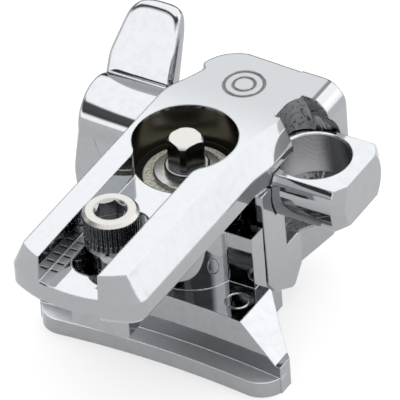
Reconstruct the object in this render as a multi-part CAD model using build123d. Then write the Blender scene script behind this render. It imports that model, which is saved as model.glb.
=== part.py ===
from build123d import *
import os
from math import sqrt

# Rim clamp with a rod holder: an upper jaw casting carries a clamp bolt that
# pulls a lower jaw up to it, a rim hook that slides along the arm, and an eye
# bolt with a wing nut that grips a vertical rod.
# Millimetres.  The origin is on the clamp bolt's axis at the underside of the
# lower jaw, +Z is up, -Y points to the nose and +X to the rod side.

# ---- arm of the upper jaw ----
top_z = 40.0             # flat top of the arm
arm_bottom_z = 29.7      # underside of the two prongs
arm_top_half = 10.56     # half width of the flat top
arm_half = 13.5          # half width under the side chamfer
chamfer_drop = 5.6       # height of the side chamfer
edge_break_z = 1.2       # height of the broken lower edge
edge_break_x = 0.8       # width of the broken lower edge
nose_y = -42.0           # foremost point of the nose
nose_top_radius = 17.25
nose_low_radius = 28.0
nose_corner_radius = 3.2
nose_top_corner = 0.5

# ---- channel, slot and well in the arm ----
channel_half = 6.08
channel_depth = 5.13
under_channel_depth = 1.3
under_channel_end_y = -11.0
slot_half = 3.78
slot_front_y = -36.2
slot_rear_y = -16.5
well_radius = 9.58
well_floor_z = 32.0
well_mouth_radius = 3.0  # rounding where the channel opens into the well
boss_radius = 9.0
boss_z = 27.0
scale_pitch = 2.2
scale_first_y = -37.6
scale_count = 9
scale_length = 1.4
scale_width = 0.35
scale_depth = 0.2

# ---- rear block of the upper jaw ----
post_room = 0.45         # gap between the lower jaw's post and the block behind it
block_rear_y = 26.0
web_x = 18.0
web_round = 4.5
block_side_x = 14.4
leg_right_inner = 12.9
leg_right_outer = 14.4
leg_left_inner = 11.9
leg_left_outer = 13.3
leg_front_y = 1.2
leg_low_z = 4.1
underside_rise = 0.61    # rise of the block's underside per mm to the rear
seat_wall_x = 11.3
seat_front_y = 12.4      # front edge of the rod seat above the eye
seat_low_front_y = 8.5   # front edge of the rod seat below the eye
seat_rear_y = 19.8
seat_corner_radius = 4.0
seat_floor_z = 14.5
arch_radius = 10.35
arch_x = 15.0

# ---- clamp bolt ----
thread_radius = 3.0      # M6
clamp_pitch = 1.0
bolt_hole_clearance = 0.3
square_flats = 5.5
square_corner_radius = 3.35
collar_radius = 4.1
collar_height = 1.2
bolt_end_z = 5.0
bolt_washer_radius = 6.1
bolt_washer_thickness = 1.1
seat_gap = 0.05          # gap left between faces that bear on each other

# ---- lower jaw ----
plate_half = 25.04
plate_front_y = -15.35
wall_y = -11.59
rim_sag = 1.72           # how far the two curved fronts sweep forward at the plate's ends
plate_corner_radius = 4.9
ledge_z = 3.31
floor_z = 12.7
floor_half = 16.63
flank_end_x = 23.9
flank_end_z = 5.8
post_radius = 9.45
post_top_z = 23.9
slab_right = 14.4
slab_left = 13.2
slab_front_y = -3.05
slab_rear_y = 0.8
tongue_rear_y = 8.5
tongue_top_z = 18.0
slide_clearance = 0.2    # each side of the tongue between the legs
nut_flats = 10.0
nut_thickness = 5.0
nut_low_z = 7.5
nut_clearance = 0.05
blind_hole_z = 1.5
spring_bore_radius = 5.6
spring_floor_z = 14.0

# ---- jaw spring ----
spring_radius = 4.35
spring_wire = 0.9
spring_turns = 5.5

# ---- rim hook and its screw ----
hook_y = -25.78
hook_half = 5.9
hook_front_y = -32.0
hook_rear_y = -19.6
hook_low_z = 24.0
claw_depth = 3.5
claw_low_z = 19.0
pad_thickness = 1.5
hook_gap = 0.1
tongue_half = 3.6
tongue_half_length = 3.6
tongue_height = 3.5
square_nut_thickness = 3.2
screw_head_radius = 5.1
screw_head_height = 6.0
screw_socket_flats = 5.0
screw_socket_depth = 3.2
screw_head_chamfer = 0.6
knurl_count = 36
knurl_depth = 0.25
knurl_low = 1.2
knurl_height = 4.0
lock_washer_radius = 5.0
lock_washer_thickness = 1.05
lock_washer_split = 0.7

# ---- eye bolt and wing nut ----
eye_y = 13.4
eye_z = 28.25
eye_radius = 8.9
eye_thickness = 9.0
eye_inner_x = 9.4
eye_end_x = 28.1
eye_chamfer = 2.3
eye_face_radius = 7.35
rod_x = 18.3
rod_hole_radius = 6.6
rod_hole_chamfer = 0.35
eye_thread_radius = 4.0  # M8
eye_thread_end_x = -25.0
eye_pocket_x = 8.4
eye_pocket_clearance = 0.25
shank_clearance = 0.08
wing_face_x = -12.4
wing_seat_radius = 8.4
wing_washer_radius = 7.6
wing_washer_thickness = 1.0
hub_radius = 7.0
hub_end_x = -27.3
wing_lean = 20.0
wing_inner_x = -13.9
wing_outer_x = -27.5
wing_shoulder_x = -23.2
wing_shoulder_h = 19.5
wing_tip_x0 = -21.3
wing_tip_x1 = -16.2
wing_reach = 21.3
wing_root_h = 6.7
wing_near = 1.3          # offset of a wing's near face from the axis
wing_far = 6.3
wing_corner = 2.0
wing_edge = 0.8

# ---- derived heights and places ----
block_front_y = post_radius + post_room
chamfer_z = top_z - chamfer_drop
channel_floor_z = top_z - channel_depth
channel_under_z = arm_bottom_z + under_channel_depth
bolt_washer_z = well_floor_z + seat_gap
collar_z = bolt_washer_z + bolt_washer_thickness + seat_gap
square_z = collar_z + collar_height
lock_washer_z = channel_floor_z + seat_gap
screw_head_z = lock_washer_z + lock_washer_thickness + seat_gap
washer_x = wing_face_x - seat_gap
nut_face_x = washer_x - wing_washer_thickness - seat_gap


def cyl(radius, z0, z1, x=0.0, y=0.0):
    """Upright cylinder from z0 to z1."""
    return Pos(x, y, z0) * Cylinder(radius, z1 - z0, align=(Align.CENTER, Align.CENTER, Align.MIN))


def cyl_x(radius, x0, x1, y=eye_y, z=eye_z):
    """Cylinder along X from x0 to x1."""
    lying = Rot(0, 90, 0) * Cylinder(radius, x1 - x0, align=(Align.CENTER, Align.CENTER, Align.MIN))
    return Pos(x0, y, z) * lying


def block(x0, x1, y0, y1, z0, z1):
    """Box between two corners."""
    return Pos(x0, y0, z0) * Box(x1 - x0, y1 - y0, z1 - z0, align=(Align.MIN, Align.MIN, Align.MIN))


def prism(points, z0, z1):
    """Upright prism over a closed outline of (x, y) points."""
    face = make_face(Polyline(*points, close=True))
    return Pos(0, 0, z0) * extrude(face, z1 - z0)


def prism_x(points, x0, x1):
    """Prism along X over a closed outline of (y, z) points."""
    face = make_face(Polyline(*[(0, y, z) for y, z in points], close=True))
    return Pos(x0, 0, 0) * extrude(face, x1 - x0, dir=(1, 0, 0))


def hexagon_prism(flats, z0, z1):
    """Upright hexagonal prism with two flats square to X."""
    shape = RegularPolygon(flats / 2, 6, major_radius=False, rotation=30)
    return Pos(0, 0, z0) * extrude(shape, z1 - z0)


def jaw_outline(z, half, nose_radius, corner, front, flare, right_end, back_x, back_y, tail):
    """Plan outline of the upper jaw at height z, nose to rear, the same edges at every height."""
    side_y = front + nose_radius - sqrt(nose_radius ** 2 - half ** 2)
    arm_end_y = 0.0
    left_end_y = 9.0
    tail_start, tail_knee, tail_end = tail
    edges = [
        ThreePointArc((-half, side_y), (0, front), (half, side_y)),
        Line((half, side_y), (half, arm_end_y)),
        Spline((half, arm_end_y), flare, right_end, tangents=[(0, 1), (0.25, 1)]),
        Line(right_end, (back_x, back_y)),
        Line((back_x, back_y), tail_end),
        Spline(tail_end, tail_knee, tail_start),
        Line(tail_start, (tail_start[0] + 1.0, tail_start[1] - 1.3)),
        Spline(
            (tail_start[0] + 1.0, tail_start[1] - 1.3),
            (-half + 1.9, left_end_y + 6.0),
            (-half, left_end_y),
            tangents=[(-0.3, -1), (0, -1)],
        ),
        Line((-half, left_end_y), (-half, side_y)),
    ]
    face = make_face(edges)
    nose_corners = face.vertices().sort_by(Axis.Y)[:2]
    return Pos(0, 0, z) * fillet(nose_corners, corner)


def arm_solid():
    """The arm and rear deck: broken lower edge, upright side, chamfered top."""
    top = jaw_outline(
        top_z, arm_top_half, nose_top_radius, nose_top_corner, nose_y,
        (11.07, 6.5), (12.47, 12.5), 12.6, 25.6, ((-8.0, 20.4), (-6.6, 23.4), (-2.0, 26.2)),
    )
    middle = jaw_outline(
        chamfer_z, arm_half, nose_low_radius, nose_corner_radius, nose_y,
        (14.4, 6.0), (14.8, 12.5), 14.8, 26.2, ((-10.0, 21.0), (-8.2, 24.4), (-2.4, 26.8)),
    )
    low = jaw_outline(
        arm_bottom_z, arm_half - edge_break_x, nose_low_radius, nose_corner_radius,
        nose_y + edge_break_x,
        (14.4 - edge_break_x, 6.0), (14.8 - edge_break_x, 12.5), 14.0, 25.6,
        ((-9.2, 20.6), (-7.4, 24.0), (-2.2, 26.2)),
    )
    break_top = Pos(0, 0, arm_bottom_z + edge_break_z - chamfer_z) * middle
    upright = extrude(break_top, chamfer_z - arm_bottom_z - edge_break_z, dir=(0, 0, 1))
    return loft([low, break_top], ruled=True) + upright + loft([middle, top], ruled=True)


def leg(inner, outer, side):
    """One of the two legs beside the lower jaw's tongue; side is 1 for right, -1 for left."""
    outline = [
        (leg_front_y, arm_bottom_z + 0.6),
        (leg_front_y + 0.5, leg_low_z + 6.4),
        (leg_front_y + 2.5, leg_low_z + 3.2),
        (9.6, leg_low_z),
        (10.6, leg_low_z),
        (13.4, leg_low_z + 3.3),
        (13.4, arm_bottom_z + 0.6),
    ]
    x0, x1 = sorted((side * inner, side * outer))
    return prism_x(outline, x0, x1)


def rear_block():
    """Block behind the tongue that holds the eye bolt, with its web for the rod."""
    outline = [
        (-leg_left_outer, block_front_y), (block_side_x, block_front_y), (block_side_x, 13.5),
        (web_x, 19.0), (web_x, block_rear_y), (-2.2, 26.6), (-7.6, 24.6), (-9.8, 21.0),
        (-leg_left_outer, 15.0),
    ]
    low_z = leg_low_z
    body = prism(outline, low_z, chamfer_z)
    web = block(seat_wall_x - 2, web_x, seat_rear_y, block_rear_y, 20.0, top_z)
    web_edge = web.edges().filter_by(Axis.Y).group_by(Axis.Z)[-1].sort_by(Axis.X)[-1]
    web = fillet(web_edge, web_round)
    front_low = leg_low_z + 3.3
    wedge = prism_x(
        [
            (13.4, front_low), (40.0, front_low + underside_rise * (40.0 - 13.4)),
            (40.0, low_z - 5), (10.6, low_z - 5), (10.6, leg_low_z),
        ],
        -30, 30,
    )
    left_boss = cyl_x(wing_seat_radius, wing_face_x, -post_radius - post_room)
    return body - wedge + web + left_boss


def seat_cut():
    """Rod seat: a square-mouthed notch open to +X, deeper in front below the eye."""
    split_z = eye_z
    upper = block(seat_wall_x, 40, seat_front_y, seat_rear_y, split_z, top_z + 5)
    lower = block(seat_wall_x, 40, seat_low_front_y, seat_rear_y, seat_floor_z, split_z + 0.01)
    upper = fillet(upper.edges().filter_by(Axis.Z).sort_by(Axis.X)[:2].sort_by(Axis.Y)[-1], seat_corner_radius)
    lower = fillet(lower.edges().filter_by(Axis.Z).sort_by(Axis.X)[:2], seat_corner_radius)
    return upper + lower


def eye_section(radius, thickness, x0, x1):
    """Cylinder along X with two horizontal flats."""
    slab = block(x0, x1, eye_y - 20, eye_y + 20, eye_z - thickness / 2, eye_z + thickness / 2)
    return cyl_x(radius, x0, x1) & slab


def upper_jaw():
    """Upper jaw casting."""
    boss = cyl(boss_radius, boss_z, arm_bottom_z + 1)
    body = arm_solid() + boss + rear_block()
    body += leg(leg_right_inner, leg_right_outer, 1)
    body += leg(leg_left_inner, leg_left_outer, -1)

    channel = block(-channel_half, channel_half, nose_y - 5, 0, channel_floor_z, top_z + 5)
    well = cyl(well_radius, well_floor_z, top_z + 5)
    recess = channel + well
    mouth = [
        e for e in recess.edges().filter_by(Axis.Z)
        if abs(abs(e.center().X) - channel_half) < 0.01 and e.center().Y > -well_radius
    ]
    recess = fillet(mouth, well_mouth_radius)
    under = block(-channel_half, channel_half, nose_y - 5, under_channel_end_y, arm_bottom_z - 5, channel_under_z)
    slot_length = slot_rear_y - slot_front_y
    slot_mid = (slot_rear_y + slot_front_y) / 2
    slot = Pos(0, slot_mid, channel_under_z - 1) * extrude(
        Rot(0, 0, 90) * SlotOverall(slot_length, 2 * slot_half), channel_depth + 5)
    body = body - recess - under - slot
    body -= cyl(thread_radius + bolt_hole_clearance, boss_z - 1, well_floor_z + 1)
    body -= seat_cut()
    body -= eye_section(
        eye_radius + eye_pocket_clearance, eye_thickness + 2 * eye_pocket_clearance, eye_pocket_x, 40)
    body -= cyl_x(arch_radius, arch_x, 40)
    body -= cyl_x(eye_thread_radius + shank_clearance, -40, 20)
    body -= cyl_x(wing_seat_radius, -40, wing_face_x)
    body -= scale_marks() + index_mark() + deck_ring()
    return body


def scale_marks():
    """Short grooves along the left strip of the channel floor."""
    x0 = -channel_half + 0.35
    marks = [
        block(x0, x0 + scale_length, y - scale_width / 2, y + scale_width / 2,
              channel_floor_z - scale_depth, channel_floor_z + 1)
        for y in [scale_first_y + scale_pitch * i for i in range(scale_count)]
    ]
    return Part() + marks


def index_mark():
    """Small reference groove at the right front of the channel floor."""
    y = scale_first_y - 0.9
    return block(channel_half - 2.0, channel_half - 0.8, y, y + scale_width,
                 channel_floor_z - scale_depth, channel_floor_z + 1)


def deck_ring():
    """Plain engraved double ring on the rear deck."""
    x, y = 1.6, 18.2
    depth = 0.3
    rings = []
    for radius, width in ((3.9, 0.5), (2.2, 0.45)):
        outer = cyl(radius, top_z - depth, top_z + 1, x, y)
        rings.append(outer - cyl(radius - width, top_z - depth - 1, top_z + 2, x, y))
    return Part() + rings


def front_curve(y, sag):
    """Arc across the plate, its ends swept forward by sag."""
    return ThreePointArc((-plate_half, y - sag), (0, y), (plate_half, y - sag))


def lower_jaw():
    """Lower jaw casting: ledge, wall, floor, post and tongue."""
    sag = rim_sag
    rear = [(plate_half, -10.0), (21.0, -6.0), (17.0, -1.7), (-17.0, -1.7), (-21.0, -6.0), (-plate_half, -10.0)]
    plate_face = make_face([
        front_curve(plate_front_y, sag),
        Line((plate_half, plate_front_y - sag), rear[0]),
        Polyline(*rear),
        Line(rear[-1], (-plate_half, plate_front_y - sag)),
    ])
    corners = plate_face.vertices().sort_by(Axis.Y)[:2]
    plate_face = fillet(corners, plate_corner_radius)
    plate = extrude(plate_face, ledge_z, dir=(0, 0, 1))
    step_face = make_face([
        front_curve(wall_y, sag),
        Line((plate_half, wall_y - sag), rear[0]),
        Polyline(*rear),
        Line(rear[-1], (-plate_half, wall_y - sag)),
    ])
    step = extrude(step_face, floor_z, dir=(0, 0, 1))
    crown = [
        (-plate_half - 1, -1), (plate_half + 1, -1), (plate_half + 1, flank_end_z),
        (flank_end_x, flank_end_z), (floor_half, floor_z + 0.001), (-floor_half, floor_z + 0.001),
        (-flank_end_x, flank_end_z), (-plate_half - 1, flank_end_z),
    ]
    crown_face = make_face(Polyline(*[(x, -30, z) for x, z in crown], close=True))
    step = step & extrude(crown_face, 60, dir=(0, 1, 0))
    slab = block(-slab_left, slab_right, slab_front_y, slab_rear_y, 0, post_top_z)
    right = leg_right_inner - slide_clearance
    left = leg_left_inner - slide_clearance
    tongue = block(-left, right, slab_rear_y - 1, tongue_rear_y, 0, tongue_top_z)
    post = cyl(post_radius, 0, post_top_z)
    body = plate + step + slab + tongue + post
    body -= cyl(thread_radius + bolt_hole_clearance, blind_hole_z, post_top_z + 1)
    body -= cyl(spring_bore_radius, spring_floor_z, post_top_z + 1)
    room = nut_flats / 2 + nut_clearance
    low = nut_low_z - nut_clearance
    high = nut_low_z + nut_thickness + nut_clearance
    body -= hexagon_prism(2 * room, low, high) + block(-room, room, 0, post_radius + 1, low, high)
    for side in (-1, 1):
        ring = cyl(2.3, floor_z - 0.15, floor_z + 1, side * 13.3, -7.3)
        body -= ring - cyl(2.0, floor_z - 1, floor_z + 2, side * 13.3, -7.3)
    return body


def clamp_bolt():
    """Bolt with a square drive head whose corners are turned round."""
    head = Pos(0, 0, square_z) * Box(
        square_flats, square_flats, top_z - square_z, align=(Align.CENTER, Align.CENTER, Align.MIN))
    turned = cyl(square_corner_radius, square_z, top_z)
    turned = chamfer(turned.faces().sort_by(Axis.Z)[-1].edges(), 0.5)
    head = Rot(0, 0, -24) * (head & turned)
    collar = cyl(collar_radius, collar_z, square_z)
    collar = fillet(collar.faces().sort_by(Axis.Z)[-1].edges(), 0.4)
    shank = cyl(thread_radius, bolt_end_z, collar_z)
    shank = chamfer(shank.faces().sort_by(Axis.Z)[0].edges(), 0.5)
    return shank + collar + head


def clamp_bolt_washer():
    """Plain washer in the bottom of the well."""
    washer = cyl(bolt_washer_radius, bolt_washer_z, bolt_washer_z + bolt_washer_thickness)
    washer = chamfer(washer.faces().sort_by(Axis.Z)[-1].edges(), 0.2)
    return washer - cyl(thread_radius + 0.2, bolt_washer_z - 1, bolt_washer_z + 3)


def clamp_nut():
    """Captive hexagon nut in the lower jaw."""
    nut = hexagon_prism(nut_flats, nut_low_z, nut_low_z + nut_thickness)
    return nut - cyl(thread_radius + 0.05, nut_low_z - 1, nut_low_z + nut_thickness + 1)


def jaw_spring():
    """Compression spring around the clamp bolt, from the post's bore to the boss."""
    low = spring_floor_z + spring_wire / 2 + seat_gap
    high = boss_z - spring_wire / 2 - seat_gap
    path = Helix(pitch=(high - low) / spring_turns, height=high - low, radius=spring_radius)
    section = Plane(origin=path @ 0, z_dir=path % 0) * Circle(spring_wire / 2)
    return Pos(0, 0, low) * sweep(section, path=path)


def rim_hook():
    """Hook block that slides under the arm, with its claw and guide tongue."""
    top = channel_under_z - hook_gap
    body = block(-hook_half, hook_half, hook_front_y, hook_rear_y, hook_low_z, top)
    body += block(-hook_half, hook_half, hook_front_y, hook_front_y + claw_depth, claw_low_z, hook_low_z + 1)
    tongue_face = Rot(0, 0, 90) * SlotOverall(2 * tongue_half_length + 0.6, 2 * tongue_half)
    body += Pos(0, hook_y, top) * extrude(tongue_face, tongue_height)
    edges = body.edges().filter_by(Axis.Y).group_by(Axis.Z)[0]
    body = chamfer(edges, 0.8)
    half = nut_flats / 2 + nut_clearance
    body -= block(-half, half, hook_y - half, hook_y + half, hook_low_z - 1,
                  hook_low_z + square_nut_thickness + nut_clearance)
    return body - cyl(thread_radius + bolt_hole_clearance, hook_low_z - 1, top + tongue_height + 1, 0, hook_y)


def hook_nut():
    """Square nut let into the underside of the hook block."""
    half = nut_flats / 2
    nut = block(-half, half, hook_y - half, hook_y + half, hook_low_z, hook_low_z + square_nut_thickness)
    return nut - cyl(thread_radius + 0.05, hook_low_z - 1, hook_low_z + square_nut_thickness + 1, 0, hook_y)


def hook_pad():
    """Rubber pad on the claw's inner face."""
    y = hook_front_y + claw_depth
    pad = block(-hook_half + 0.5, hook_half - 0.5, y, y + pad_thickness, claw_low_z + 0.3, hook_low_z - 0.4)
    return fillet(pad.faces().sort_by(Axis.Y)[-1].edges(), 0.5)


def hook_screw():
    """Socket head cap screw with a knurled head."""
    head = cyl(screw_head_radius, 0, screw_head_height)
    head = chamfer(head.faces().sort_by(Axis.Z)[-1].edges(), screw_head_chamfer)
    groove_radius = knurl_depth * 1.25
    grooves = Part() + [
        Rot(0, 0, 360 * i / knurl_count) * cyl(
            groove_radius, knurl_low, knurl_low + knurl_height, screw_head_radius + groove_radius - knurl_depth)
        for i in range(knurl_count)
    ]
    socket = hexagon_prism(screw_socket_flats, screw_head_height - screw_socket_depth, screw_head_height + 1)
    lead = Pos(0, 0, screw_head_height - 0.45) * Cone(
        screw_socket_flats / 2 + 0.1, screw_socket_flats / 2 + 0.95, 0.85,
        align=(Align.CENTER, Align.CENTER, Align.MIN))
    head = head - grooves - (Rot(0, 0, 15) * socket) - lead
    shank = cyl(thread_radius, hook_low_z + 0.2 - screw_head_z, 0)
    shank = chamfer(shank.faces().sort_by(Axis.Z)[0].edges(), 0.5)
    return Pos(0, hook_y, screw_head_z) * (head + shank)


def hook_lock_washer():
    """Split spring washer under the screw's head."""
    z0, z1 = lock_washer_z, lock_washer_z + lock_washer_thickness
    ring = cyl(lock_washer_radius, z0, z1) - cyl(thread_radius + 0.15, z0 - 1, z1 + 1)
    split = block(-lock_washer_split / 2, lock_washer_split / 2, 0, lock_washer_radius + 1, z0 - 1, z1 + 1)
    return Pos(0, hook_y, 0) * (ring - Rot(0, 0, 200) * split)


def eye_bolt():
    """Eye bolt: flatted cylinder with a vertical rod hole, and a threaded shank to -X."""
    slope = eye_radius - eye_face_radius
    body = cyl_x(eye_radius, eye_inner_x, eye_end_x)
    end_edges = body.faces().sort_by(Axis.X)[-1].edges()
    body = chamfer(end_edges, slope, eye_chamfer)
    low, high = eye_z - eye_thickness / 2, eye_z + eye_thickness / 2
    body = body & block(eye_inner_x, eye_end_x, eye_y - 20, eye_y + 20, low, high)
    body -= cyl(rod_hole_radius, low - 1, high + 1, rod_x, eye_y)
    mouth = Cone(
        rod_hole_radius, rod_hole_radius + rod_hole_chamfer, rod_hole_chamfer,
        align=(Align.CENTER, Align.CENTER, Align.MIN))
    body -= Pos(rod_x, eye_y, high - rod_hole_chamfer) * mouth
    body -= Pos(rod_x, eye_y, low + rod_hole_chamfer) * Rot(180, 0, 0) * mouth
    shank = cyl_x(eye_thread_radius, eye_thread_end_x, eye_inner_x)
    shank = chamfer(shank.faces().sort_by(Axis.X)[0].edges(), 0.6)
    return body + shank


def wing_washer():
    """Plain washer between the upper jaw and the wing nut."""
    ring = cyl_x(wing_washer_radius, washer_x - wing_washer_thickness, washer_x)
    return ring - cyl_x(eye_thread_radius + shank_clearance, -40, 0)


def wing():
    """One wing as a plate in the plane through the axis, before it is offset and leaned."""
    points = [
        (wing_inner_x, 0), (wing_inner_x, wing_reach - 2.6), (wing_tip_x1, wing_reach),
        (wing_tip_x0, wing_reach), (wing_shoulder_x, wing_shoulder_h), (wing_outer_x, wing_root_h),
        (wing_outer_x, 0),
    ]
    face = make_face(Polyline(*[(x, 0, h) for x, h in points], close=True))
    plate = extrude(face, wing_far - wing_near, dir=(0, 1, 0))
    corners = plate.edges().filter_by(Axis.Y).sort_by(Axis.Z)[2:]
    plate = fillet(corners, wing_corner)
    rim = [e for e in plate.edges() if e.bounding_box().size.Y < 0.01 and e.center().Z > 0.01]
    return Pos(0, wing_near, 0) * chamfer(rim, wing_edge)


def wing_nut():
    """Wing nut with two offset wings."""
    hub = cyl_x(hub_radius, hub_end_x, nut_face_x, 0, 0)
    hub = chamfer(hub.faces().sort_by(Axis.X)[0].edges(), 0.8)
    upper = wing()
    body = hub + upper + Rot(180, 0, 0) * upper
    body -= cyl_x(eye_thread_radius + shank_clearance, -40, 0, 0, 0)
    return Pos(0, eye_y, eye_z) * Rot(-wing_lean, 0, 0) * body


NODES = {
    "upper_jaw": upper_jaw,
    "lower_jaw": lower_jaw,
    "clamp_bolt": clamp_bolt,
    "clamp_bolt_washer": clamp_bolt_washer,
    "clamp_nut": clamp_nut,
    "jaw_spring": jaw_spring,
    "rim_hook": rim_hook,
    "hook_nut": hook_nut,
    "hook_pad": hook_pad,
    "hook_screw": hook_screw,
    "hook_lock_washer": hook_lock_washer,
    "eye_bolt": eye_bolt,
    "wing_washer": wing_washer,
    "wing_nut": wing_nut,
}

os.makedirs("parts", exist_ok=True)
for node, make in NODES.items():
    export_step(make(), f"parts/{node}.step")
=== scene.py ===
"""Looks of a chrome-plated rim clamp with a rod holder: finishes, fine pieces, camera and light."""

import math

import bmesh
import bpy
import numpy as np
from bpy.props import FloatProperty, FloatVectorProperty, IntProperty, PointerProperty
from mathutils import Matrix, Vector


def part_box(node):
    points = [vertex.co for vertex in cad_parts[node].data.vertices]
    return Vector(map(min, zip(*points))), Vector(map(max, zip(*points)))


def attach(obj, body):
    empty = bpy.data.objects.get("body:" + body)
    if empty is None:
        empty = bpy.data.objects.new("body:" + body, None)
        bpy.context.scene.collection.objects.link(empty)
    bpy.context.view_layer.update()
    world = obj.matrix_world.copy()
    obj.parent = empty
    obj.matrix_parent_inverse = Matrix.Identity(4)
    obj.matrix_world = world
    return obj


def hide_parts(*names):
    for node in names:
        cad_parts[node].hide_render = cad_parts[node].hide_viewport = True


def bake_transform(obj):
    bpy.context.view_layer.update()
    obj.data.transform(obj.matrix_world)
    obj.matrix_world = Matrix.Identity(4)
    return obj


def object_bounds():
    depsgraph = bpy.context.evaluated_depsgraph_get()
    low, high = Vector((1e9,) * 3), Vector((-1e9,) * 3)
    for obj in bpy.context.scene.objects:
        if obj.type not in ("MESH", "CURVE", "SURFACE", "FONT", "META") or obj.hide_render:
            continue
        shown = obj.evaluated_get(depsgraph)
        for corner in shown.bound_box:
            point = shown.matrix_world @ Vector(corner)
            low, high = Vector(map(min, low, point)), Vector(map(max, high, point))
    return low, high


bl_info = {
    "name": "Rim Clamp Looks",
    "version": (1, 0, 0),
    "blender": (4, 5, 0),
    "location": "View3D > Sidebar > Rim Clamp",
    "description": "Finishes, fine pieces, camera and light for a rim clamp with a rod holder",
    "category": "Object",
}

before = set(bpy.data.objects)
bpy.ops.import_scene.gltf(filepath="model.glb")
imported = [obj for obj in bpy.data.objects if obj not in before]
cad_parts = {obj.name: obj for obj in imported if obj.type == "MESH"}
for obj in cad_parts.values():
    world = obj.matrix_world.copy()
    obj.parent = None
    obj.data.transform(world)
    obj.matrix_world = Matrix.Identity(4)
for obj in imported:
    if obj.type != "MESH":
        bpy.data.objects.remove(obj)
CAD_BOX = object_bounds()
MM = 0.001

# Places on the castings, in millimetres. A pair is (low, high), or the start and end of a soft edge.
SEAT_X, SEAT_Y, SEAT_Z = (11.2, 17.9), (12.6, 19.95), (14.3, 39.8)
RING_EDGE = (8.0, 8.2)
WELL_FOOT = (9.7, 9.8)
WELL_WALL = (9.2, 9.7)
WELL_TOP = 39.2
POCKET_X, POCKET_EDGE = (7.0, 14.2), (9.4, 9.8)
ARM_UNDERSIDE = (31.3, 31.6)
ARM_X, ARM_Y = (-12.5, 12.5), (-38.0, 9.0)
DECK_START, DECK_TOP = (0.0, 16.0), (39.5, 39.9)
LANE_X, LANE_BOTTOM, LANE_TOP, LANE_END = (-6.2, -3.9), (34.5, 34.6), (34.95, 35.0), (-17.0, -16.0)
MARK_X, MARK_DEPTH = (-5.8, -4.2), (34.83, 34.86)
# Line along the deck's back edge that is painted dark as painted shade: its heights and where it starts.
SHADE_LINE_BOTTOM, SHADE_LINE_TOP, SHADE_LINE_START = (39.6, 39.66), (39.8, 39.9), (12.0, 12.5)
LEDGE_TOP, LEDGE_END = (3.2, 3.42), (-11.6, -11.0)
UNDERSIDE = (0.05, 0.2)
EYE_CENTRE_IN = 9.8
ROD_HOLE_EDGE = (6.68, 6.78)
SHANK_END = (5.0, 6.0)
EYE_PITCH, BOLT_PITCH = 1.25, 1.0
BOLT_THREAD_TOP = (22.0, 23.0)
SCREW_SOCKET_EDGE, SCREW_KNURL_EDGE, KNURLS = (3.0, 3.4), (4.6, 4.8), 36.0


# ---------------------------------------------------------------- shader maths

class Value:
    """A node socket that takes part in arithmetic; each operation adds one Math node."""

    def __init__(self, tree, socket):
        self.tree = tree
        self.socket = socket

    def math(self, operation, *others):
        return node(self.tree, "ShaderNodeMath", {"operation": operation}, {
            i: other for i, other in enumerate((self, *others))})

    def __add__(self, other):
        return self.math("ADD", other)

    __radd__ = __add__

    def __mul__(self, other):
        return self.math("MULTIPLY", other)

    __rmul__ = __mul__

    def __sub__(self, other):
        return self.math("SUBTRACT", other)

    def __rsub__(self, other):
        return (self * -1.0) + other

    def power(self, exponent):
        return self.math("POWER", exponent)

    def sine(self):
        return self.math("SINE")

    def rise(self, low, high):
        """0 below low, 1 above high, smooth between."""
        return node(self.tree, "ShaderNodeMapRange", {"interpolation_type": "SMOOTHSTEP"}, {
            "Value": self, "From Min": low, "From Max": high, "To Min": 0.0, "To Max": 1.0})

    def band(self, low, high, soft):
        """1 between low and high, falling to 0 over soft outside them."""
        return self.rise(low - soft, low) * (1.0 - self.rise(high, high + soft))


def node(tree, kind, settings, values, output=0):
    """Adds a node, applies its settings, then its sockets' values or links, and wraps one output."""
    made = tree.nodes.new(kind)
    for name, setting in settings.items():
        setattr(made, name, setting)
    for name, value in values.items():
        socket = made.inputs[name]
        if isinstance(value, Value):
            tree.links.new(value.socket, socket)
        else:
            socket.default_value = value
    return Value(tree, made.outputs[output])


def place_mm(tree):
    """Object coordinates in millimetres: the vector, and its x, y and z."""
    raw = node(tree, "ShaderNodeTexCoord", {}, {}, "Object")
    vector = node(tree, "ShaderNodeVectorMath", {"operation": "SCALE"}, {0: raw, "Scale": 1.0 / MM})
    parts = [node(tree, "ShaderNodeSeparateXYZ", {}, {0: vector}, i) for i in range(3)]
    return vector, *parts


def noise(tree, vector, scale, detail=3.0, roughness=0.5):
    """Fractal noise, about 0 to 1, with scale in cells per millimetre."""
    return node(tree, "ShaderNodeTexNoise", {}, {
        "Vector": vector, "Scale": scale, "Detail": detail, "Roughness": roughness}, "Fac")


def blend_colour(tree, mask, first, second):
    """Colour that goes from first to second with the mask; each is a Value or three numbers."""
    factor, colour_a, colour_b, colour_out = 0, 6, 7, 2
    ends = [end if isinstance(end, Value) else (*end, 1.0) for end in (first, second)]
    return node(tree, "ShaderNodeMix", {"data_type": "RGBA"}, {
        factor: mask, colour_a: ends[0], colour_b: ends[1]}, colour_out)


def shade(colour, factor):
    """A colour made darker, or lighter, by a factor, no brighter than white."""
    return [min(1.0, channel * factor) for channel in colour]


def plating_gloss(look, haze):
    """Roughness of the plating, uneven with its haze."""
    return look.chrome_roughness * (0.7 + haze * 0.8)


def hazed(tree, haze, colour, factor):
    """Plating colour, darker by factor where the haze is strong."""
    return blend_colour(tree, haze.rise(0.35, 0.75), colour, shade(colour, factor))


def finish_material(name, metallic=1.0, ior=1.45):
    """New node material with an empty Principled shader; returns it, its tree and the shader."""
    material = bpy.data.materials.new(name)
    material.use_nodes = True
    tree = material.node_tree
    shader = tree.nodes["Principled BSDF"]
    shader.inputs["Metallic"].default_value = metallic
    shader.inputs["IOR"].default_value = ior
    return material, tree, shader


def drive(tree, shader, **links):
    """Links values to the shader's sockets; an underscore in a name stands for a space."""
    for name, value in links.items():
        tree.links.new(value.socket, shader.inputs[name.replace("_", " ")])


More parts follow.
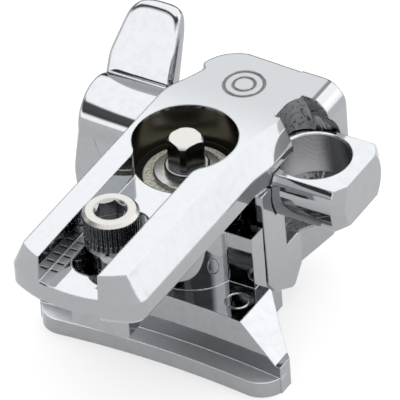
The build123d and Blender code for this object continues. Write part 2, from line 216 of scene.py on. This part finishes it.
def relief(tree, height, depth_mm, edge_mm=0.0, strength=1.0):
    """Normal with the height's bumps, on edges rounded by edge_mm."""
    values = {"Height": height, "Distance": depth_mm * MM, "Strength": strength}
    if edge_mm:
        values["Normal"] = node(tree, "ShaderNodeBevel", {"samples": 6}, {"Radius": edge_mm * MM})
    return node(tree, "ShaderNodeBump", {}, values)


# ---------------------------------------------------------------- finishes

def polished(name, look, edge_mm=0.35):
    """Mirror plating with faint polishing waves, fine haze and softened edges."""
    material, tree, shader = finish_material(name)
    vector = place_mm(tree)[0]
    wave = noise(tree, vector, 0.09, 2.0)
    haze = noise(tree, vector, 0.7, 4.0)
    specks = noise(tree, vector, 6.0, 2.0)
    height = wave + specks * 0.004
    tone = hazed(tree, haze, look.chrome, 0.94)
    rough = plating_gloss(look, haze)
    drive(tree, shader, Base_Color=tone, Roughness=rough, Normal=relief(tree, height, 0.05, edge_mm))
    return material


def jaw_plating(look):
    """Plating of the upper jaw: bare rod seat, sandy ring in the well, painted shade on the deck, its back
    edge, the well and the pocket.
    """
    material, tree, shader = finish_material("jaw plating")
    vector, x, y, z = place_mm(tree)
    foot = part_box("clamp_bolt_washer")[0].z / MM
    eye_low, eye_high = (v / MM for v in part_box("eye_bolt"))
    eye_mid = (eye_low + eye_high) / 2

    seat = x.band(*SEAT_X, 0.1) * y.band(*SEAT_Y, 0.1) * z.band(*SEAT_Z, 0.1)
    radius = (x * x + y * y).power(0.5)
    base = z.band(foot - 0.2, foot + 0.25, 0.1)
    ring = (1.0 - radius.rise(*RING_EDGE)) * base
    # Foot of the well, between the sandy ring and the wall, painted near black as painted shade.
    corner = radius.rise(*RING_EDGE) * (1.0 - radius.rise(*WELL_FOOT)) * base
    # Wall of the well, painted dark as painted shade.
    wall = radius.band(*WELL_WALL, 0.05) * z.band(foot + 0.2, WELL_TOP, 0.2)
    away_y, away_z = y - eye_mid.y, z - eye_mid.z
    pocket_radius = (away_y * away_y + away_z * away_z).power(0.5)
    # Pocket round the eye bolt, painted dark as painted shade.
    pocket = (1.0 - pocket_radius.rise(*POCKET_EDGE)) * x.band(*POCKET_X, 0.2) * (1.0 - seat)
    inner = (1.0 - z.rise(*ARM_UNDERSIDE)) * x.band(*ARM_X, 0.3) * y.band(*ARM_Y, 1.0)
    # Back of the deck, painted darker as painted shade.
    deck = y.rise(*DECK_START) * z.rise(*DECK_TOP)
    lane = x.band(*LANE_X, 0.1) * z.rise(*LANE_BOTTOM)
    lane = lane * (1.0 - z.rise(*LANE_TOP)) * (1.0 - y.rise(*LANE_END))
    mark = lane * (1.0 - z.rise(*MARK_DEPTH)) * x.band(*MARK_X, 0.05)
    # Line along the deck's back edge, painted dark as painted shade.
    back_edge_shade = z.rise(*SHADE_LINE_BOTTOM) * (1.0 - z.rise(*SHADE_LINE_TOP)) * y.rise(*SHADE_LINE_START)

    wave = noise(tree, vector, 0.08, 2.0)
    haze = noise(tree, vector, 0.6, 4.0)
    grit = noise(tree, vector, 2.6, 6.0, 0.7)
    pits = noise(tree, vector, 1.5, 3.0, 0.6).rise(0.52, 0.64)

    bare = blend_colour(tree, pits, look.seat, shade(look.seat, 0.25))
    sand = blend_colour(tree, grit.rise(0.4, 0.62), look.sand, shade(look.sand, 0.35))
    tone = hazed(tree, haze, look.chrome, 0.97)
    # In this list the back of the deck, the well wall and foot, the pocket and the line along the back edge
    # are painted shade; the seat, the sandy ring and the black scale marks are real colours.
    for mask, colour in (
            (deck, shade(look.chrome, 0.76)), (seat, bare), (ring, sand), (wall, look.well),
            (corner, (0.02, 0.02, 0.018)), (pocket, shade(look.chrome, 0.35)),
            (mark, (0.015, 0.015, 0.017)), (back_edge_shade, shade(look.chrome, 0.3))):
        tone = blend_colour(tree, mask, tone, colour)

    rough = plating_gloss(look, haze)
    for mask, added in (
            (seat, 0.32), (ring, 0.45), (pocket, 0.3), (inner, 0.12),
            (wall, 0.16), (corner, 0.3), (lane, 0.34)):
        rough = rough + mask * added
    metal = 1.0 - ring * 0.55
    height = wave + seat * grit * 2.6 + ring * grit * 3.5 + pocket * grit * 0.8
    drive(tree, shader, Base_Color=tone, Roughness=rough, Metallic=metal,
          Normal=relief(tree, height, 0.06, 0.55))
    return material


def lower_plating(look):
    """Plating of the lower jaw: mirror above, a satin ledge with fine rub lines, painted lighter as a
    painted highlight.
    """
    material, tree, shader = finish_material("lower plating")
    vector, x, y, z = place_mm(tree)
    ledge = z.band(*LEDGE_TOP, 0.05) * (1.0 - y.rise(*LEDGE_END))
    wave = noise(tree, vector, 0.08, 2.0)
    haze = noise(tree, vector, 0.6, 4.0)
    stretched = node(tree, "ShaderNodeMapping", {}, {"Vector": vector, "Scale": (0.6, 6.0, 6.0)})
    lines = noise(tree, stretched, 1.2, 4.0, 0.6)
    under = 1.0 - z.rise(*UNDERSIDE)
    tone = hazed(tree, haze, look.chrome, 0.93)
    # Ledge painted lighter as a painted highlight, unevenly along its rub lines.
    tone = blend_colour(tree, ledge * (0.5 + lines * 0.5), tone, shade(look.chrome, 1.7))
    rough = plating_gloss(look, haze) + ledge * (0.3 + lines * 0.25) + under * 0.15
    height = wave + ledge * lines * 0.25 + under * lines * 0.2
    drive(tree, shader, Base_Color=tone, Roughness=rough, Normal=relief(tree, height, 0.05, 0.3))
    return material


def satin_steel(name, colour, roughness, centre, grain=6.0, edge_mm=0.12):
    """Turned steel: fine rings about an upright axis through centre, with a mottled haze."""
    material, tree, shader = finish_material(name)
    vector, x, y, z = place_mm(tree)
    dx, dy = x - centre[0], y - centre[1]
    radius = (dx * dx + dy * dy).power(0.5)
    rings = (radius * grain * 2.0 * math.pi).sine()
    haze = noise(tree, vector, 1.1, 4.0)
    tone = blend_colour(tree, haze.rise(0.3, 0.8), colour, shade(colour, 0.8))
    rough = roughness * (0.75 + haze * 0.6)
    drive(tree, shader, Base_Color=tone, Roughness=rough,
          Normal=relief(tree, rings * 0.04 + haze * 0.4, 0.03, edge_mm))
    return material


def screw_finish(look):
    """Socket screw: dark oiled knurl, painted shade in its valleys, a painted highlight on the top ring,
    darker socket.
    """
    low, high = (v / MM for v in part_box("hook_screw"))
    mid = (low + high) / 2
    material, tree, shader = finish_material("socket screw steel")
    vector, x, y, z = place_mm(tree)
    dx, dy = x - mid.x, y - mid.y
    radius = (dx * dx + dy * dy).power(0.5)
    top = z.rise(high.z - 0.75, high.z - 0.45) * radius.rise(*SCREW_SOCKET_EDGE)
    haze = noise(tree, vector, 1.3, 4.0)
    # Knurl valleys, painted near black as painted shade.
    valley_shade = (dy.math("ARCTAN2", dx) * KNURLS).sine() * 0.5 + 0.5
    valley_shade = valley_shade * radius.rise(*SCREW_KNURL_EDGE) * (1.0 - top)
    # Top ring painted light as a painted highlight; the rest of the head is a darker copy of the steel.
    tone = blend_colour(tree, top, shade(look.steel, 0.75), look.highlit)
    tone = blend_colour(tree, valley_shade.rise(0.35, 0.75), tone, shade(look.steel, 0.12))
    rough = 0.2 + haze * 0.08 + top * 0.06
    drive(tree, shader, Base_Color=tone, Roughness=rough, Normal=relief(tree, haze, 0.01, 0.1))
    return material


def bolt_finish(look):
    """Clamp bolt: polished flats painted dark as painted shade, and a top painted light as a painted
    highlight.
    """
    head_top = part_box("clamp_bolt")[1].z / MM
    material, tree, shader = finish_material("clamp bolt steel")
    vector, _, _, z = place_mm(tree)
    top = z.rise(head_top - 0.4, head_top - 0.1)
    haze = noise(tree, vector, 1.0, 4.0)
    thread = (z * (2.0 * math.pi / BOLT_PITCH)).sine() * (1.0 - z.rise(*BOLT_THREAD_TOP))
    # Top painted light as a painted highlight, flats painted dark as painted shade.
    tone = blend_colour(tree, top, shade(look.steel, 0.5), look.highlit)
    rough = 0.1 + haze * 0.1 + top * 0.12
    drive(tree, shader, Base_Color=tone, Roughness=rough,
          Normal=relief(tree, haze * 0.2 + thread * 3.0, 0.08, 0.15))
    return material


def eye_finish(look):
    """Eye bolt: mirror plating, a turned rod hole and the thread on the shank."""
    low, high = (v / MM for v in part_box("eye_bolt"))
    material, tree, shader = finish_material("eye plating")
    vector, x, y, z = place_mm(tree)
    dx, dy = x - (high.x - EYE_CENTRE_IN), y - (low.y + high.y) / 2
    radius = (dx * dx + dy * dy).power(0.5)
    hole = (1.0 - radius.rise(*ROD_HOLE_EDGE)) * z.band(low.z + 0.3, high.z - 0.3, 0.1)
    thread = (x * (2.0 * math.pi / EYE_PITCH)).sine() * (1.0 - x.rise(*SHANK_END))
    haze = noise(tree, vector, 0.6, 4.0)
    wave = noise(tree, vector, 0.1, 2.0)
    turning = (z * 22.0).sine()
    tone = blend_colour(tree, hole, hazed(tree, haze, look.chrome, 0.95), (0.30, 0.30, 0.31))
    rough = plating_gloss(look, haze) + hole * 0.2
    height = wave + hole * turning * 0.2 + thread * 4.0
    drive(tree, shader, Base_Color=tone, Roughness=rough, Normal=relief(tree, height, 0.06, 0.3))
    return material


def rubber_finish():
    """Matt black rubber with a fine moulded grain."""
    material, tree, shader = finish_material("pad rubber", metallic=0.0, ior=1.5)
    vector = place_mm(tree)[0]
    grain = noise(tree, vector, 5.0, 4.0, 0.6)
    tone = blend_colour(tree, grain.rise(0.35, 0.7), (0.02, 0.02, 0.021), (0.045, 0.044, 0.043))
    drive(tree, shader, Base_Color=tone, Roughness=0.55 + grain * 0.3, Normal=relief(tree, grain, 0.04))
    return material


def paint(part, material):
    """Gives an object one material on every slot."""
    slots = part.data.materials
    if not len(slots):
        slots.append(material)
    for index in range(len(slots)):
        slots[index] = material


# ---------------------------------------------------------------- new pieces

def solid(name, grids):
    """Object of closed shells, each a rows x columns x 3 grid of points in metres.

    Every grid joins its last column to its first. One whose wrap is true also joins its last row to
    its first, and any other is capped at both ends.
    """
    mesh = bpy.data.meshes.new(name)
    corners, faces, first = [], [], 0
    for points, wrap in grids:
        rows, columns = points.shape[:2]
        row, column = (a.ravel() for a in np.meshgrid(
            np.arange(rows if wrap else rows - 1), np.arange(columns), indexing="ij"))
        ring, after = row * columns, (row + 1) % rows * columns
        side = (column + 1) % columns
        quads = np.stack([ring + column, ring + side, after + side, after + column], axis=1)
        faces += (first + quads).tolist()
        if not wrap:
            faces.append((first + np.arange(columns)[::-1]).tolist())
            faces.append((first + (rows - 1) * columns + np.arange(columns)).tolist())
        corners.append(points.reshape(-1, 3))
        first += rows * columns
    mesh.from_pydata(np.concatenate(corners).tolist(), [], faces)
    shape = bmesh.new()
    shape.from_mesh(mesh)
    bmesh.ops.recalc_face_normals(shape, faces=shape.faces)
    shape.to_mesh(mesh)
    shape.free()
    mesh.shade_smooth()
    piece = bpy.data.objects.new(name, mesh)
    bpy.context.scene.collection.objects.link(piece)
    return piece


def tube(name, path, radius, sides):
    """Round tube along a path of points: each ring lies square to the path, carried without twist."""
    ahead = np.gradient(path, axis=0)
    ahead /= np.linalg.norm(ahead, axis=1, keepdims=True)
    upright = np.array([0.0, 0.0, 1.0])
    side = np.cross(upright, ahead)
    side /= np.linalg.norm(side, axis=1, keepdims=True)
    across = np.cross(ahead, side)
    turn = np.linspace(0, 2 * np.pi, sides, endpoint=False)
    right, up = np.cos(turn)[None, :, None], np.sin(turn)[None, :, None]
    ring = right * side[:, None] + up * across[:, None]
    return solid(name, [(path[:, None] + radius * ring, False)])


def coil_piece(settings):
    """Jaw spring: a helix of mean radius R, at (R cos a, R sin a, height), with a from 0 to all its turns.

    The height climbs between the closed end turns, mostly evenly and partly eased in and out, and a
    small share of it climbs evenly over the whole wire, so that the end turns lie nearly flat.
    """
    closed, eased, whole = 0.8, 0.35, 0.06
    low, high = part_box("jaw_spring")
    wire = settings.wire * MM / 2
    mean = (high.x - low.x) / 2 - wire
    turns = settings.turns
    t = np.linspace(0, 1, 40 * turns)
    climb = np.clip((t * turns - closed) / (turns - 2 * closed), 0, 1)
    climb = climb * climb * (3 - 2 * climb) * eased + climb * (1 - eased)
    angle = 2 * np.pi * turns * t
    height = low.z + wire + (high.z - low.z - 2 * wire) * (whole * t + (1 - whole) * climb)
    path = np.stack([mean * np.cos(angle), mean * np.sin(angle), height], axis=1)
    return tube("spring_coil", path, wire, 14)


def resample(points, count):
    """Closed outline resampled to evenly spaced points along its length."""
    closed = np.vstack([points, points[:1]])
    along = np.concatenate([[0], np.cumsum(np.linalg.norm(np.diff(closed, axis=0), axis=1))])
    at = np.linspace(0, along[-1], count, endpoint=False)
    return np.stack([np.interp(at, along, closed[:, i]) for i in range(2)], axis=1)


def rounded(points, rounds, count):
    """Closed outline smoothed by averaging neighbours, which rounds its corners and keeps its sides."""
    outline = resample(points, count)
    for _ in range(rounds):
        outline = (np.roll(outline, 1, axis=0) + 2 * outline + np.roll(outline, -1, axis=0)) / 4
    return resample(outline, count)


def outward(outline):
    """Unit normals of a counter-clockwise outline."""
    ahead = np.roll(outline, -1, axis=0) - np.roll(outline, 1, axis=0)
    normal = np.stack([ahead[:, 1], -ahead[:, 0]], axis=1)
    return normal / np.linalg.norm(normal, axis=1, keepdims=True)


def wing_grid(settings, box_low, box_high):
    """Rows of one wing, from the middle of its near face over the rounded rim to that of its far face.

    With a from 0 to a quarter turn, the rim's row is the outline drawn in by edge * (1 - sin a), and
    it stands edge * (1 - cos a) in from the face. Both faces taper together with height, and each
    is crowned by crown * (1 - t^2), where t runs from the middle (0) to the rim (1).
    """
    edge, reach = settings.wing_edge, settings.wing_reach
    inner, outer, root = box_high[0] - 0.3, box_low[0] + 0.02, -2.0
    outline = rounded(np.array([
        (inner, root), (inner, 0.80 * reach), (inner - 0.5, 0.955 * reach), (inner - 2.3, reach),
        (inner - 6.7, reach), (inner - 9.3, 0.97 * reach), (inner - 11.1, 0.87 * reach),
        (outer, 0.47 * reach), (outer, root)]), 26, 260)
    drawn_in = outline - outward(outline) * edge
    middle = drawn_in.mean(axis=0)
    rows = []
    for near_side in (True, False):
        start = settings.wing_near if near_side else settings.wing_far
        into = 1.0 if near_side else -1.0
        slope = settings.wing_taper * (1.0 if near_side else -0.5)
        face = []
        for t in np.linspace(0.02, 1.0, 14)[:-1]:
            face.append((middle + t * (drawn_in - middle), start - into * settings.crown * (1 - t * t)))
        for angle in np.linspace(0, np.pi / 2, 9):
            flat = outline - outward(outline) * edge * (1 - math.sin(angle))
            face.append((flat, start + into * edge * (1 - math.cos(angle))))
        side = [
            np.stack([flat[:, 0], depth + slope * flat[:, 1] / reach, flat[:, 1]], axis=1)
            for flat, depth in face]
        rows += side if near_side else side[::-1]
    return np.array(rows)


def turned_grid(profile, sides):
    """Surface of revolution about the x axis from (x, radius) pairs."""
    turn = np.linspace(0, 2 * np.pi, sides, endpoint=False)
    x, r = np.array(profile).T
    along = np.repeat(x[:, None], sides, axis=1)
    return np.stack([along, r[:, None] * np.cos(turn)[None], r[:, None] * np.sin(turn)[None]], axis=2)


def wing_piece(settings):
    """Wing nut: a bored hub turned about the x axis, and two wings half a turn apart, leaned about it.

    The hub's outer end is a quarter circle of 1 mm: (cos a, sin a) from its centre, over a quarter turn.
    """
    low, high = (np.array(v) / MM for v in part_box("wing_nut"))
    bore, rim = settings.bore_radius, settings.hub_radius
    inner, outer = high[0], low[0] + 0.2
    round_end = [(outer + 1.0 - math.cos(a), rim - 1.0 + math.sin(a)) for a in np.linspace(np.pi / 2, 0, 7)]
    hub = turned_grid([
        (inner, bore), (inner, rim - 0.5), (inner - 0.15, rim - 0.15), (inner - 0.5, rim),
        *round_end, (outer, bore + 0.5), (outer + 0.5, bore)], 96)
    upper = wing_grid(settings, low, high)
    lower = upper * np.array([1.0, -1.0, -1.0])
    lean = settings.wing_lean
    turned = np.array([
        [1, 0, 0], [0, math.cos(lean), -math.sin(lean)], [0, math.sin(lean), math.cos(lean)]])
    axis = np.array([0.0, (low[1] + high[1]) / 2, (low[2] + high[2]) / 2])
    shells = ((hub, True), (upper, False), (lower, False))
    return solid("wing_nut_cast", [((grid @ turned + axis) * MM, wrap) for grid, wrap in shells])


# ---------------------------------------------------------------- settings

class ClampLook(bpy.types.PropertyGroup):
    """Colours and gloss of the finishes."""
    chrome: FloatVectorProperty(
        name="Chrome", description="Colour of the plating", subtype="COLOR", size=3,
        default=(0.345, 0.355, 0.368), min=0.0, max=1.0)
    steel: FloatVectorProperty(
        name="Steel", description="Colour of the bolts", subtype="COLOR", size=3,
        default=(0.31, 0.315, 0.32), min=0.0, max=1.0)
    # Painted highlight: the colour painted on the bolts' tops.
    highlit: FloatVectorProperty(
        name="Highlit steel", description="Colour of the bolts' rubbed tops", subtype="COLOR", size=3,
        default=(0.335, 0.33, 0.315), min=0.0, max=1.0)
    seat: FloatVectorProperty(
        name="Rod seat", description="Colour of the bare casting in the rod seat", subtype="COLOR", size=3,
        default=(0.30, 0.31, 0.32), min=0.0, max=1.0)
    # Painted shade on the wall of the well.
    well: FloatVectorProperty(
        name="Well wall", description="Colour of the shaded wall of the well", subtype="COLOR", size=3,
        default=(0.15, 0.14, 0.11), min=0.0, max=1.0)
    sand: FloatVectorProperty(
        name="Well ring", description="Colour of the bare ring in the well", subtype="COLOR", size=3,
        default=(0.62, 0.60, 0.52), min=0.0, max=1.0)
    chrome_roughness: FloatProperty(
        name="Gloss", description="Roughness of the plating", default=0.045, min=0.0, max=1.0)


class ClampSpring(bpy.types.PropertyGroup):
    """Sizes of the jaw spring."""
    wire: FloatProperty(name="Wire", description="Wire thickness in millimetres", default=0.9, min=0.1)
    turns: IntProperty(name="Turns", description="Number of turns", default=6, min=3)


class ClampWing(bpy.types.PropertyGroup):
    """Sizes of the wing nut, in millimetres."""
    hub_radius: FloatProperty(name="Hub", description="Radius of the hub", default=7.0, min=1.0)
    bore_radius: FloatProperty(name="Bore", description="Radius of the bore", default=4.08, min=0.5)
    wing_reach: FloatProperty(
        name="Reach", description="Height of a wing above the axis", default=21.7, min=5.0)
    wing_near: FloatProperty(name="Near", description="Near face from the axis", default=1.3, min=0.0)
    wing_far: FloatProperty(name="Far", description="Far face from the axis", default=6.3, min=1.0)
    wing_taper: FloatProperty(
        name="Taper", description="How far the near face tilts over the reach", default=1.6)
    wing_edge: FloatProperty(name="Edge", description="Radius of the rim", default=1.1, min=0.1)
    crown: FloatProperty(name="Crown", description="Bulge of the faces", default=0.1, min=0.0)
    wing_lean: FloatProperty(
        name="Lean", description="Lean of the wings", subtype="ANGLE", default=math.radians(20.0))


class ClampView(bpy.types.PropertyGroup):
    """Place of the camera, and light."""
    azimuth: FloatProperty(
        name="Azimuth", description="Turn round the clamp", subtype="ANGLE", default=math.radians(32.802))
    elevation: FloatProperty(
        name="Elevation", description="Height above the floor", subtype="ANGLE", default=math.radians(37.93))
    roll: FloatProperty(
        name="Roll", description="Roll of the camera", subtype="ANGLE", default=math.radians(4.244))
    distance: FloatProperty(
        name="Distance", description="Distance of the camera", unit="LENGTH", default=1.6086)
    lens: FloatProperty(name="Lens", description="Focal length in millimetres", default=810.0)
    aim: FloatVectorProperty(
        name="Aim", description="Point above the origin that the camera turns round", subtype="TRANSLATION",
        default=(0.0, 0.0, 0.022))
    shift_right: FloatProperty(
        name="Right", description="Aim moved to the right", unit="LENGTH", default=0.00182)
    shift_up: FloatProperty(name="Up", description="Aim moved up", unit="LENGTH", default=0.00289)
    floor: FloatVectorProperty(
        name="Floor", description="Colour of the floor", subtype="COLOR", size=3,
        default=(0.27, 0.27, 0.272), min=0.0, max=1.0)
    floor_glow: FloatProperty(
        name="Floor glow", description="Light given off by the floor", default=0.58, min=0.0)


# ---------------------------------------------------------------- operators

class CLAMP_OT_castings(bpy.types.Operator):
    """Finish the two jaw castings and the rim hook"""
    bl_idname = "clamp.castings"
    bl_label = "Castings"

    def execute(self, context):
        look = context.scene.clamp_look
        paint(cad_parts["upper_jaw"], jaw_plating(look))
        paint(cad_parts["lower_jaw"], lower_plating(look))
        paint(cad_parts["rim_hook"], polished("hook plating", look))
        return {"FINISHED"}


class CLAMP_OT_clamp_bolt(bpy.types.Operator):
    """Finish the clamp bolt, its washer and its nut"""
    bl_idname = "clamp.clamp_bolt"
    bl_label = "Clamp bolt"

    def execute(self, context):
        look = context.scene.clamp_look
        paint(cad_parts["clamp_bolt"], bolt_finish(look))
        washer = satin_steel("washer steel", (0.29, 0.29, 0.285), 0.24, (0.0, 0.0))
        paint(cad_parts["clamp_bolt_washer"], washer)
        nut = satin_steel("clamp nut zinc", (0.50, 0.51, 0.52), 0.3, (0.0, 0.0), 3.0)
        paint(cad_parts["clamp_nut"], nut)
        return {"FINISHED"}


class CLAMP_OT_hook_screw(bpy.types.Operator):
    """Finish the hook's screw, lock washer, nut and pad"""
    bl_idname = "clamp.hook_screw"
    bl_label = "Hook screw"

    def execute(self, context):
        look = context.scene.clamp_look
        low, high = (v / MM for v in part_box("hook_screw"))
        centre = ((low.x + high.x) / 2, (low.y + high.y) / 2)
        paint(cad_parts["hook_screw"], screw_finish(look))
        lock = satin_steel("lock washer steel", (0.45, 0.46, 0.47), 0.25, centre)
        paint(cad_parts["hook_lock_washer"], lock)
        nut = satin_steel("hook nut zinc", (0.50, 0.51, 0.52), 0.3, centre, 3.0)
        paint(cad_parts["hook_nut"], nut)
        paint(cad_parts["hook_pad"], rubber_finish())
        return {"FINISHED"}


class CLAMP_OT_rod_holder(bpy.types.Operator):
    """Finish the eye bolt, the wing nut and its washer"""
    bl_idname = "clamp.rod_holder"
    bl_label = "Rod holder"

    def execute(self, context):
        look = context.scene.clamp_look
        paint(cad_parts["eye_bolt"], eye_finish(look))
        wings = wing_piece(context.scene.clamp_wing)
        paint(wings, polished("wing plating", look, 0.5))
        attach(wings, "wing_body")
        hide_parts("wing_nut")
        washer = satin_steel("wing washer steel", (0.60, 0.60, 0.60), 0.2, (0.0, 0.0), 0.5)
        paint(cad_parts["wing_washer"], washer)
        return {"FINISHED"}


class CLAMP_OT_spring(bpy.types.Operator):
    """Make the jaw spring with closed end turns"""
    bl_idname = "clamp.spring"
    bl_label = "Jaw spring"

    def execute(self, context):
        coil = coil_piece(context.scene.clamp_spring)
        steel = satin_steel("spring steel", (0.42, 0.43, 0.45), 0.22, (0.0, 0.0), 2.0, 0.0)
        paint(coil, steel)
        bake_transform(coil)
        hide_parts("jaw_spring")
        return {"FINISHED"}


class CLAMP_OT_stage(bpy.types.Operator):
    """Lay the floor, light the room and set the camera"""
    bl_idname = "clamp.stage"
    bl_label = "Stage"

    def execute(self, context):
        view = context.scene.clamp_view
        lay_floor(view)
        light_room(context.scene)
        set_camera(context.scene, view)
        return {"FINISHED"}


def lay_floor(view):
    """Wide pale floor at the clamp's lowest point, which gives off a little light of its own."""
    half, level = 3.0, CAD_BOX[0].z
    corners = [(-half, -half, level), (half, -half, level), (half, half, level), (-half, half, level)]
    mesh = bpy.data.meshes.new("floor")
    mesh.from_pydata(corners, [], [(0, 1, 2, 3)])
    floor = bpy.data.objects.new("floor", mesh)
    bpy.context.scene.collection.objects.link(floor)
    material, tree, shader = finish_material("pale floor", metallic=0.0)
    shader.inputs["Base Color"].default_value = (*view.floor, 1.0)
    shader.inputs["Roughness"].default_value = 0.9
    shader.inputs["Emission Color"].default_value = (1.0, 1.0, 1.0, 1.0)
    shader.inputs["Emission Strength"].default_value = view.floor_glow
    floor.data.materials.append(material)


def light_room(scene):
    """White tent: bright roof, two soft boxes low down, and dark strips that chrome edges pick up.

    Its strength is a function of the direction (x, y, z) alone. Each mask is 0 to 1: the roof overhead,
    a side box to the back right, a front box, a thin dark gap above the horizon, a dark flag above the
    front box, and a dark back.
    """
    wall_level, roof_extra, box_extra = 1.1, 1.42, 1.4
    gap_dark, flag_dark, back_dark = 0.75, 0.93, 0.85
    world = bpy.data.worlds.new("tent")
    world.use_nodes = True
    scene.world = world
    tree = world.node_tree
    direction = node(tree, "ShaderNodeTexCoord", {}, {}, "Generated")
    x, y, z = (node(tree, "ShaderNodeSeparateXYZ", {}, {0: direction}, i) for i in range(3))
    front = y * -1.0
    back_right = x * 0.75 + y * 0.66
    back_left = x * -0.43 + y * 0.9
    side_box = back_right.rise(0.35, 0.7) * (1.0 - z.rise(0.3, 0.5))
    front_box = front.rise(0.3, 0.6) * (1.0 - z.rise(0.16, 0.22))
    gap = z.band(0.1, 0.26, 0.05) * (1.0 - side_box) * (1.0 - front.rise(0.1, 0.3))
    flag = front.rise(0.12, 0.36) * z.band(0.28, 0.62, 0.08)
    back = back_left.rise(0.45, 0.7) * (1.0 - z.rise(0.2, 0.26))
    level = wall_level + z.rise(0.12, 0.5) * roof_extra + side_box * box_extra + front_box * box_extra
    for mask, dark in ((gap, gap_dark), (flag, flag_dark), (back, back_dark)):
        level = level * (1.0 - mask * dark)
    background = tree.nodes["Background"]
    background.inputs["Color"].default_value = (1.0, 1.0, 1.0, 1.0)
    tree.links.new(level.socket, background.inputs["Strength"])


def set_camera(scene, view):
    """Camera at the view's angle: back points from the aim to the camera, which is rolled about it."""
    a, e, r = view.azimuth, view.elevation, view.roll
    back = Vector((math.sin(a) * math.cos(e), -math.cos(a) * math.cos(e), math.sin(e)))
    right = Vector((math.cos(a), math.sin(a), 0.0))
    up = back.cross(right)
    target = Vector(view.aim) + right * view.shift_right + up * view.shift_up
    camera_right = right * math.cos(r) - up * math.sin(r)
    camera_up = right * math.sin(r) + up * math.cos(r)
    data = bpy.data.cameras.new("camera")
    data.lens = view.lens
    data.sensor_width = 36.0
    data.clip_start = 0.05
    data.clip_end = 50.0
    camera = bpy.data.objects.new("camera", data)
    turn = Matrix((camera_right, camera_up, back)).transposed().to_4x4()
    camera.matrix_world = Matrix.Translation(target + back * view.distance) @ turn
    scene.collection.objects.link(camera)
    scene.camera = camera


# ---------------------------------------------------------------- panel and registration

STEPS = ("castings", "clamp_bolt", "hook_screw", "rod_holder", "spring", "stage")


class CLAMP_PT_panel(bpy.types.Panel):
    """Steps and settings of the rim clamp"""
    bl_label = "Rim Clamp"
    bl_space_type = "VIEW_3D"
    bl_region_type = "UI"
    bl_category = "Rim Clamp"

    def draw(self, context):
        for step in STEPS:
            self.layout.operator(f"clamp.{step}")
        scene = context.scene
        for group in (scene.clamp_look, scene.clamp_spring, scene.clamp_wing, scene.clamp_view):
            box = self.layout.box()
            for name in group.__annotations__:
                box.prop(group, name)


CLASSES = (
    ClampLook, ClampSpring, ClampWing, ClampView,
    CLAMP_OT_castings, CLAMP_OT_clamp_bolt, CLAMP_OT_hook_screw, CLAMP_OT_rod_holder, CLAMP_OT_spring,
    CLAMP_OT_stage, CLAMP_PT_panel,
)


def register():
    for cls in CLASSES:
        bpy.utils.register_class(cls)
    bpy.types.Scene.clamp_look = PointerProperty(type=ClampLook)
    bpy.types.Scene.clamp_spring = PointerProperty(type=ClampSpring)
    bpy.types.Scene.clamp_wing = PointerProperty(type=ClampWing)
    bpy.types.Scene.clamp_view = PointerProperty(type=ClampView)


def unregister():
    del bpy.types.Scene.clamp_look
    del bpy.types.Scene.clamp_spring
    del bpy.types.Scene.clamp_wing
    del bpy.types.Scene.clamp_view
    for cls in reversed(CLASSES):
        bpy.utils.unregister_class(cls)


def main():
    register()
    for step in STEPS:
        getattr(bpy.ops.clamp, step)()
    bpy.context.scene.view_settings.view_transform = "Standard"


if __name__ == "__main__":
    main()
